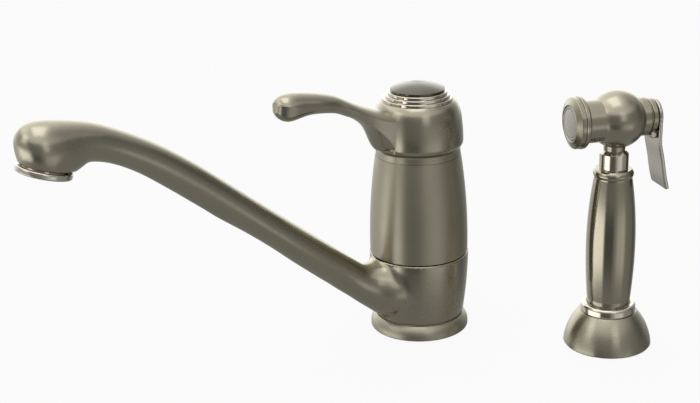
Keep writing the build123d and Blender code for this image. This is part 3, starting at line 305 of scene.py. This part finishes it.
# Moulded rubber: matt black.
rubber = stock("rubber_epdm_moulded", "#26262A", "#1A1A1D", 0.6, 0.62, IOR=1.5)
# Moulded acetal: milky, waxy white.
acetal = stock("acetal_moulded", "#E9E7DF", "#D9D6CC", 0.9, 0.38, bump=0.03, IOR=1.48)
# Moulded grey ABS: the spray's face, coloured to go with the nickel.
face_plastic = stock("abs_moulded_grey", "#B5B3AA", "#A5A399", 0.7, 0.36, bump=0.04, IOR=1.52)
print("materials so far:", len(bpy.data.materials))

# %% [markdown]
# ## The spout's casting
#
# On the real spout the arm doesn't meet the hub in a crease. The mould-maker ran a generous fillet round
# the root with a spoon and wax, and the belt softened it further. The CAD solid has the arm's flare but
# keeps the crease, as a rolling-ball fillet only holds up to 3 mm there. So the fillet is made as the
# mould-maker makes it, by filling. The solid's surface is copied and made into an even net of small
# squares. A net can be relaxed as if it were a skin, and its points are plain rows of numbers.

# %% A net over the spout
net_size = 0.0009
spout_cast = bpy.data.objects.new("spout_cast", nodes["spout"].data.copy())
bpy.context.scene.collection.objects.link(spout_cast)


def settle(piece):
    """Applies the piece's modifiers to its mesh."""
    shaped = bpy.data.meshes.new_from_object(piece.evaluated_get(bpy.context.evaluated_depsgraph_get()))
    piece.modifiers.clear()
    piece.data = shaped
    return shaped


def rows(mesh, what):
    """The places, co, or the facings, normal, of a mesh's points, with a row for each point."""
    flat = np.empty(len(mesh.vertices) * 3)
    mesh.vertices.foreach_get(what, flat)
    return flat.reshape(-1, 3)


remesh = spout_cast.modifiers.new("net", "REMESH")
remesh.mode, remesh.voxel_size, remesh.use_smooth_shade = "VOXEL", net_size, True
net = settle(spout_cast)
points, facing = rows(net, "co"), rows(net, "normal")
print("net of", len(points), "points")

# %% [markdown]
# ## How far the fillet reaches
#
# Only the outside round the arm's root is to be filled. The hub's bore, its two rims and the waterway
# inside the arm are working surfaces, so they keep their shape. Each limit makes a number from 0 to 1 for
# every point, and their product says how much of the filling that point takes.

# %% How far the fillet reaches
fillet_end, fillet_fade = 0.050, 0.012  # from the axis, and the stretch over which it runs out
bore_side = 0.0255  # nearer to the axis is the bore
back_limit = -0.005  # the far side of the hub has no arm
hub_foot, foot_fade = 0.0089, 0.0012
hub_top, top_fade = 0.0470, 0.0020
rim_end = 0.0300  # further out there is no rim to keep
waterway_start, waterway_height, waterway_slope = 0.0302, 0.0305, 0.48
waterway_wall, waterway_squash = 0.0078, 0.9  # a slanted round channel, cut upright, is taller than wide

out = points[:, 0] * cos(spout_turn) + points[:, 1] * sin(spout_turn)
aside = -points[:, 0] * sin(spout_turn) + points[:, 1] * cos(spout_turn)
from_axis, height = np.hypot(out, aside), points[:, 2]
waterway = waterway_height + waterway_slope * (out - waterway_start)
reach = np.clip((fillet_end - from_axis) / fillet_fade, 0, 1) * (from_axis > bore_side)
reach *= (out > back_limit) * np.clip((height - hub_foot) / foot_fade, 0, 1)
reach *= np.clip((hub_top - height) / top_fade + (from_axis > rim_end), 0, 1)
reach *= np.hypot(aside, (height - waterway) * waterway_squash) > waterway_wall
print("the fillet may move", int((reach > 0).sum()), "points")

# %% [markdown]
# ## Filling the crease
#
# The net is relaxed as if a skin were stretched over it, and a point takes its relaxed place only where
# that lies outside the solid. So hollows fill up and nothing that stands out is worn down. A long
# relaxing fills the crease, a short one evens it, and a last light one is let both ways.


# %% Filling the crease
def relaxed(piece, rounds):
    """The points of the piece's mesh after so many rounds of relaxing."""
    ease = piece.modifiers.new("relax", "SMOOTH")
    ease.factor, ease.iterations = 0.8, rounds
    places = rows(piece.evaluated_get(bpy.context.evaluated_depsgraph_get()).to_mesh(), "co")
    piece.modifiers.clear()
    return places


def move_net(places):
    """Puts the net's points at these places."""
    net.vertices.foreach_set("co", places.ravel())
    net.update()


deepest_fill = 0.006
for rounds in (700, 150):
    outward = ((relaxed(spout_cast, rounds) - points) * facing).sum(axis=1)
    fill = np.clip(outward, 0, deepest_fill) * reach
    points = points + facing * fill[:, None]
    move_net(points)
    facing = rows(net, "normal")
    print("filled", int((fill > 0.0002).sum()), "points, deepest", round(fill.max() * 1000, 2), "mm")
points = points + (relaxed(spout_cast, 16) - points) * reach[:, None]

# %% [markdown]
# ## The arm's underside
#
# The real arm's lower edge runs nearly straight from the head to the hub. The solid's lower edge wanders a
# little, up to 2.5 mm. So its underside is let down or taken up, station by station as on a boat's
# drawing, and softened between the stations. A point that faces straight down moves by the whole of it
# and one on the arm's side by nothing, so the section stays round.

# %% The arm's underside
stations = (38, 48, 58, 68, 78, 87, 97, 106, 114, 123, 132, 141, 149, 157, 166, 173)  # mm from the axis
lowering = (0, 0.5, 1.9, 1.3, 0, -0.7, -1.3, -0.8, 0, 1.4, 2.5, 2.3, 2.0, 1.3, 0.6, 0)  # mm
every_mm = np.arange(30.0, 182.0)
batten = np.hanning(13)
eased = np.convolve(np.interp(every_mm, stations, lowering), batten / batten.sum(), "same")

middle_start, middle_height, middle_slope = 0.044, 0.0370, 0.815  # the line through the arm's middle
below_middle = height < middle_height + middle_slope * (out - middle_start)
arm_down = np.array((sin(arm_slope) * cos(spout_turn), sin(arm_slope) * sin(spout_turn), -cos(arm_slope)))
underside = np.clip(facing @ arm_down, 0, 1) * below_middle
points[:, 2] -= np.interp(out * 1000, every_mm, eased, left=0, right=0) / 1000 * underside
move_net(points)
print("underside moved by", round(eased.min(), 2), "to", round(eased.max(), 2), "mm")

# %% [markdown]
# ## The casting takes the solid's place
#
# The solid stays for collisions, and the casting is what shows. It swings with the spout's body.

# %% The casting takes the solid's place
net.materials.clear()
net.materials.append(nickel_arm)
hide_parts("spout")
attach(spout_cast, "spout")
print("spout_cast:", len(net.polygons), "faces")

# %% [markdown]
# ## The valve's spring
#
# A coil spring shortens when the trigger is squeezed. Here the coil is a piece of its own, a copy of the
# solid spring with its own mesh, which takes the solid's place and rides with the spray.

# %% The valve's spring
spring_coil = bpy.data.objects.new("spring_coil", nodes["valve_spring"].data.copy())
bpy.context.scene.collection.objects.link(spring_coil)
spring_coil.data.materials.clear()
spring_coil.data.materials.append(stainless)
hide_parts("valve_spring")
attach(spring_coil, "spray")
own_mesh(spring_coil)

# %% [markdown]
# ## Dressing the nodes
#
# A solid whose shape is right keeps its mesh and only gets a finish. The list goes finish by finish, in
# the way that the parts would be sorted into trays at the plating shop. The two solids that have a piece
# in their place are hidden, and lie in the same tray as that piece.

# %% Dressing the nodes
trays = {
    nickel_round: ["base_flange", "barrel_sleeve", "bonnet_ring"],
    # The cap's darker nickel is painted shade.
    nickel_cap_painted_shade: ["cap_disc"],
    nickel_holder: ["spray_holder"],
    nickel_arm: ["spout"],
    nickel_lever: ["lever_handle"],
    nickel_grip: ["spray_handle"],
    nickel_nozzle: ["spray_body", "nose_bezel", "rear_collar"],
    nickel_mirror: ["cap_trim_ring", "aerator_ring", "holder_shank", "neck_ferrule", "stem_button"],
    nickel_trigger: ["trigger_lever", "trigger_pin"],
    brass: ["valve_body", "hose_connector", "holder_nut", "cartridge_nut", "diverter_seat", "valve_stem"],
    zinc_steel: ["mounting_studs", "stud_nuts", "clamp_plate", "holder_washer"],
    stainless: ["aerator_screen", "valve_spring", "pivot_pin", "cartridge_stem", "handle_screw"],
    alumina: ["fixed_disc", "moving_disc"],
    rubber: ["base_gasket", "clamp_gasket", "spindle_seals", "aerator_gasket", "holder_gasket",
             "stem_o_ring", "valve_washer"],
    acetal: ["lower_slip_ring", "upper_slip_ring", "cartridge_housing", "cartridge_rotor", "disc_carrier",
             "diverter_plunger", "aerator_insert", "holder_bush", "spray_insert"],
    face_plastic: ["spray_face"],
}
for finish, names in trays.items():
    for name in names:
        nodes[name].data.materials.clear()
        nodes[name].data.materials.append(finish)
undressed = sorted(set(nodes) - {name for names in trays.values() for name in names})
print("undressed:", undressed)

# %% [markdown]
# ## Who looks at the background
#
# Metal has no colour of its own to speak of: it shows the room. The camera is to see the object on white,
# but a metal that saw white on all sides would be white too. Light Path tells the rays apart, so the floor
# and the world can answer the camera, the metal and everything else each in its own way.


# %% Who looks at the background
def askers(tree):
    """Whether a ray comes from the camera, and whether it comes off metal or through glass."""
    rays = add(tree, "LightPath")
    metal_or_glass = add(tree, "Math", {0: rays.outputs["Is Glossy Ray"],
                                        1: rays.outputs["Is Transmission Ray"]}, operation="MAXIMUM")
    return rays.outputs["Is Camera Ray"], metal_or_glass.outputs[0]


pure_white = (1, 1, 1, 1)
print("background white:", pure_white[:3])

# %% [markdown]
# ## The floor
#
# A plain pale floor of matt paint. For the camera most of it is white, and the share that stays paint
# carries the object's soft shadow. Metal sees a little of it, and past it into the low part of the room,
# as in a studio where the object stands on a small table.

# %% The floor
floor_half = 4.0
floor_drop = 0.0002  # below the deck's plane, so that the two never fight for a pixel
white_to_camera = 0.92
white_to_metal = 0.5
clear_to_metal = 0.92

floor_mesh = bpy.data.meshes.new("floor")
floor_mesh.from_pydata([(-floor_half, -floor_half, 0), (floor_half, -floor_half, 0),
                        (floor_half, floor_half, 0), (-floor_half, floor_half, 0)], [], [(0, 1, 2, 3)])
floor = bpy.data.objects.new("floor", floor_mesh)
bpy.context.scene.collection.objects.link(floor)
floor.location.z = -floor_drop

floor_paint, tree, output = new_material("floor_matt_paint")
from_camera, from_metal = askers(tree)
camera_share = add(tree, "Math", {0: from_camera, 1: white_to_camera}, operation="MULTIPLY")
metal_share = add(tree, "Math", {0: from_metal, 1: white_to_metal}, operation="MULTIPLY")
white_share = add(tree, "Math", {0: camera_share.outputs[0], 1: metal_share.outputs[0]},
                  operation="MAXIMUM")
matt = add(tree, "BsdfDiffuse", {"Color": linear("#B0B0AC")})
white = add(tree, "Emission", {"Color": pure_white, "Strength": 1.0})
paint = add(tree, "MixShader", {0: white_share.outputs[0], 1: matt.outputs[0], 2: white.outputs[0]})
clear_share = add(tree, "Math", {0: from_metal, 1: clear_to_metal}, operation="MULTIPLY")
clear = add(tree, "BsdfTransparent", {"Color": pure_white})
blend = add(tree, "MixShader", {0: clear_share.outputs[0], 1: paint.outputs[0], 2: clear.outputs[0]})
tree.links.new(blend.outputs[0], output.inputs["Surface"])
floor_mesh.materials.append(floor_paint)
print("floor", 2 * floor_half, "m wide")

# %% [markdown]
# ## The room
#
# What makes brushed metal look like metal is a room with light and dark in it. This one is drawn on the
# world as bands that go all round: each is a ramp of brightness over the compass, and the bands are
# stacked by height. The levels are grey, so the metal's colour stays its own.

# %% The compass
world = bpy.data.worlds.new("studio")
bpy.context.scene.world = world
world.use_nodes = True
tree = world.node_tree
tree.nodes.clear()
output = tree.nodes.new("ShaderNodeOutputWorld")
way = add(tree, "SeparateXYZ", {0: add(tree, "TexCoord").outputs["Generated"]})
azimuth = add(tree, "Math", {0: way.outputs["Y"], 1: way.outputs["X"]}, operation="ARCTAN2")
compass = add(tree, "MapRange", {"Value": azimuth.outputs[0], "From Min": -pi, "From Max": pi})
brightest = 4.0  # a ramp holds colours up to 1, so levels are kept as shares of this one


def grey(level):
    """A level of brightness as a colour."""
    return (level / brightest,) * 3 + (1,)


def room_wall(levels):
    """A band of the room, from pairs of degrees from +X and level of brightness."""
    ramp = add(tree, "ValToRGB", {"Fac": compass.outputs[0]})
    ramp.color_ramp.interpolation = "EASE"
    stops = ramp.color_ramp.elements
    for number, (degrees, level) in enumerate(levels):
        stop = stops[number] if number < 2 else stops.new(1.0)  # a new ramp has two stops
        stop.position = (degrees + 180) / 360
        stop.color = grey(level)
    return ramp.outputs[0]


print("levels go up to", brightest)

# %% [markdown]
# ## The bands of the room
#
# Low down there is a wide bright card on the left, a dark gap in front, a dimmer card right of the camera
# and a dark corner on the right. At eye level the room is dim, with a bright wall behind the object, which
# lights its upper edges. Above is one big bank of light, weakest on the right. Each band takes over from
# the one before it between two heights, where a height is the upright part of a ray's direction.

# %% The bands of the room
low = room_wall([(-180, 1.0), (-163, 2.3), (-122, 2.2), (-110, 0.04), (-78, 0.03), (-62, 0.35), (-48, 0.75),
                 (-24, 0.85), (-6, 0.3), (20, 0.25), (44, 0.08), (75, 0.3), (107, 0.8), (150, 0.7),
                 (180, 1.0)])
middle = room_wall([(-180, 0.6), (-130, 0.55), (-108, 0.22), (-80, 0.26), (-40, 0.4), (-5, 0.3), (30, 0.12),
                    (60, 0.5), (90, 1.9), (130, 2.0), (180, 0.8)])
bank = room_wall([(-180, 1.7), (-140, 1.3), (-100, 1.2), (-73, 1.2), (-40, 1.1), (-10, 0.8), (30, 0.4),
                  (60, 0.7), (107, 1.5), (180, 1.8)])
zenith, below = grey(1.2), grey(0.3)

room = low
for start, end, band in ((-0.24, -0.10, middle), (0.45, 0.55, bank), (0.80, 1.0, zenith),
                         (-0.42, -0.52, below)):
    share = add(tree, "MapRange", {"Value": way.outputs["Z"], "From Min": start, "From Max": end},
                interpolation_type="SMOOTHSTEP")
    room = add(tree, "Mix", {"Factor": share.outputs[0], mix_a: room, mix_b: band},
               data_type="RGBA").outputs[mixed]
print("room of", len(tree.nodes), "nodes")

# %% [markdown]
# ## The backdrop
#
# The camera sees plain white behind the object. Metal sees a trace of that white, and the room.

# %% The backdrop
backdrop_to_metal = 0.04
from_camera, from_metal = askers(tree)
metal_share = add(tree, "Math", {0: from_metal, 1: backdrop_to_metal}, operation="MULTIPLY")
white_share = add(tree, "Math", {0: from_camera, 1: metal_share.outputs[0]}, operation="MAXIMUM")
surround = add(tree, "Background", {"Color": room, "Strength": brightest})
backdrop = add(tree, "Background", {"Color": pure_white, "Strength": 1.0})
blend = add(tree, "MixShader", {0: white_share.outputs[0], 1: surround.outputs[0],
                                2: backdrop.outputs[0]})
tree.links.new(blend.outputs[0], output.inputs["Surface"])
print("backdrop linked:", output.inputs["Surface"].is_linked)

# %% [markdown]
# ## The lamps
#
# The room gives most of the light. Three large soft lamps only round the object off: one above, which
# draws the shadow on the floor, one on the left and a weaker one on the right.

# %% The lamps
for name, place, target, size, watts in (
        ("softbox_top", (-0.1, -0.1, 1.5), (0, -0.05, 0.1), (1.2, 0.8), 4),
        ("softbox_left", (-1.0, -0.9, 0.8), (0, -0.05, 0.1), (0.6, 0.9), 1.5),
        ("softbox_right", (0.9, -1.2, 0.7), (0.05, 0, 0.1), (0.5, 0.9), 1)):
    lamp = bpy.data.lights.new(name, "AREA")
    lamp.shape, lamp.size, lamp.size_y, lamp.energy = "RECTANGLE", size[0], size[1], watts
    softbox = bpy.data.objects.new(name, lamp)
    bpy.context.scene.collection.objects.link(softbox)
    softbox.location = place
    softbox.rotation_euler = (Vector(target) - Vector(place)).to_track_quat("-Z", "Y").to_euler()
    print(name, watts, "W")
